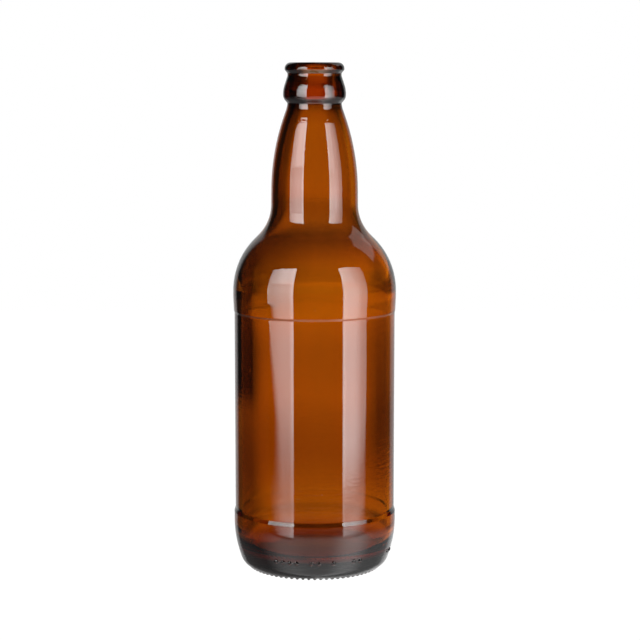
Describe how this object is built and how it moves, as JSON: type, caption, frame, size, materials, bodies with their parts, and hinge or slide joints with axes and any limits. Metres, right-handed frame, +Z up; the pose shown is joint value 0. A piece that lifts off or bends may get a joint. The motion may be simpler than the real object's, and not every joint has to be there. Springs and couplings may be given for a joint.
{
  "type": "beer bottle",
  "caption": "Empty, open beer bottle of brown glass with a recessed label panel, round shoulders, a tapering neck and a crown finish.",
  "frame": {"origin": "on the bottle's axis, in the plane that the crests of the standing ring's teeth rest on", "axes": "+Z up along the bottle's axis to the mouth; -Y towards the viewer and +X to the right, seen with the heel's row of dots in front"},
  "size_m": [0.0732, 0.0732, 0.2274],
  "materials": {
    "glass": "gloss"
  },
  "bodies": {
    "root": {"bottle": "glass"}
  },
  "joints": []
}
